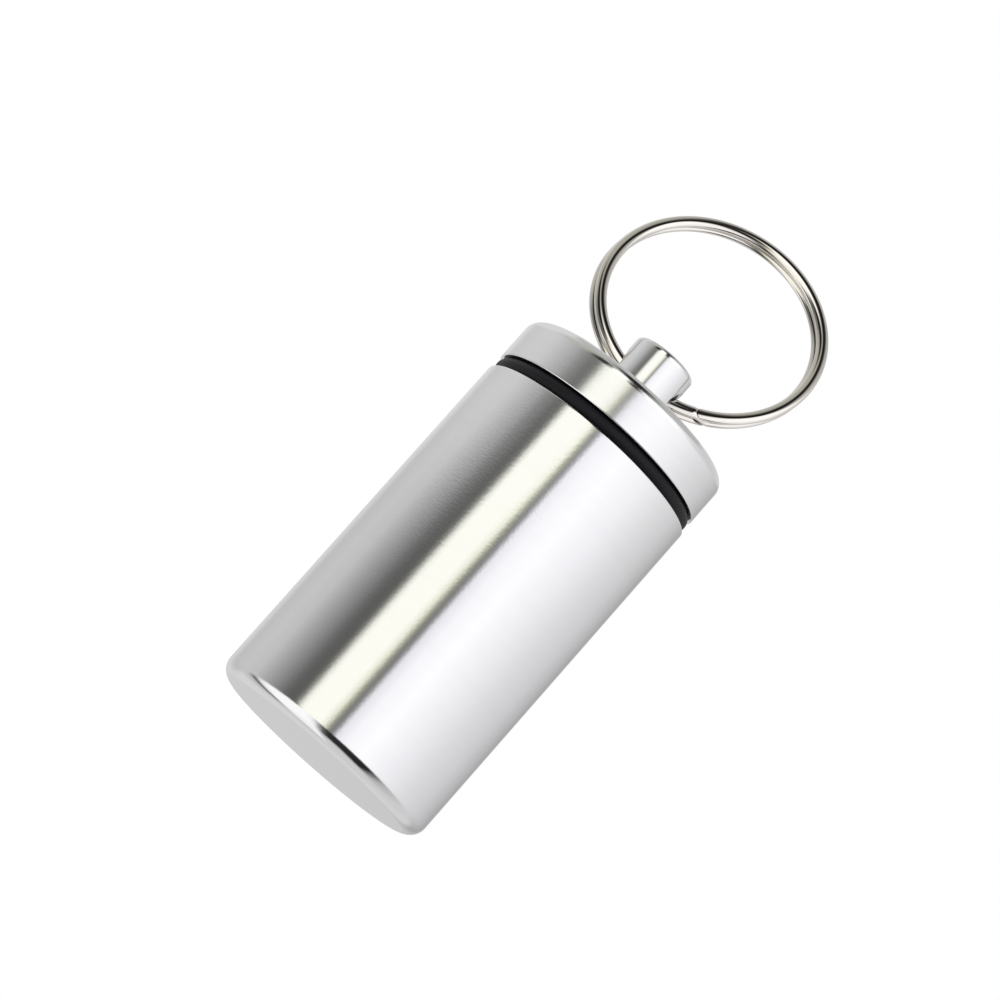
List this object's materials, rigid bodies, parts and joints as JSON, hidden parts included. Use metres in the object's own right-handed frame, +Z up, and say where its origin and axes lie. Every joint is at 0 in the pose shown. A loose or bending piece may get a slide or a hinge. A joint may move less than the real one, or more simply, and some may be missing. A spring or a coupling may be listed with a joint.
{
  "type": "pill fob keychain",
  "caption": "Turned aluminium pill canister with a screw cap sealed by an O-ring; a split key ring swings in the cap's cross-drilled post.",
  "frame": {"origin": "centre of the flat base", "axes": "+Z up along the canister's axis towards the cap, +X along the cross hole in the post, +Y the side to which the key ring leans at rest"},
  "size_m": [0.025, 0.025, 0.0709],
  "materials": {
    "satin_aluminium": "fine turned satin, clear anodised",
    "black_rubber": "smooth moulded rubber",
    "nickel_plate": "bright nickel plate on spring steel"
  },
  "bodies": {
    "canister": {"canister": "satin_aluminium"},
    "seal": {"o_ring": "black_rubber"},
    "cap": {"screw_cap": "satin_aluminium"},
    "key_ring": {"split_ring": "nickel_plate"}
  },
  "joints": [
    {"name": "cap_lift", "type": "slide", "parent": "canister", "child": "seal", "axis": [0, 0, 1], "range_m": [0, 0.00625]},
    {"name": "cap_turn", "type": "hinge", "parent": "seal", "child": "cap", "pos_m": [0, 0, 0.0415], "axis": [0, 0, 1], "range_deg": [0, 1800]},
    {"name": "ring_swing", "type": "hinge", "parent": "cap", "child": "key_ring", "pos_m": [0, 0, 0.04881], "axis": [1, 0, 0], "range_deg": [-78, 126]}
  ],
  "couplings": [
    {"joint": "cap_lift", "follows": "cap_turn", "m_per_rad": 0.00019894}
  ]
}
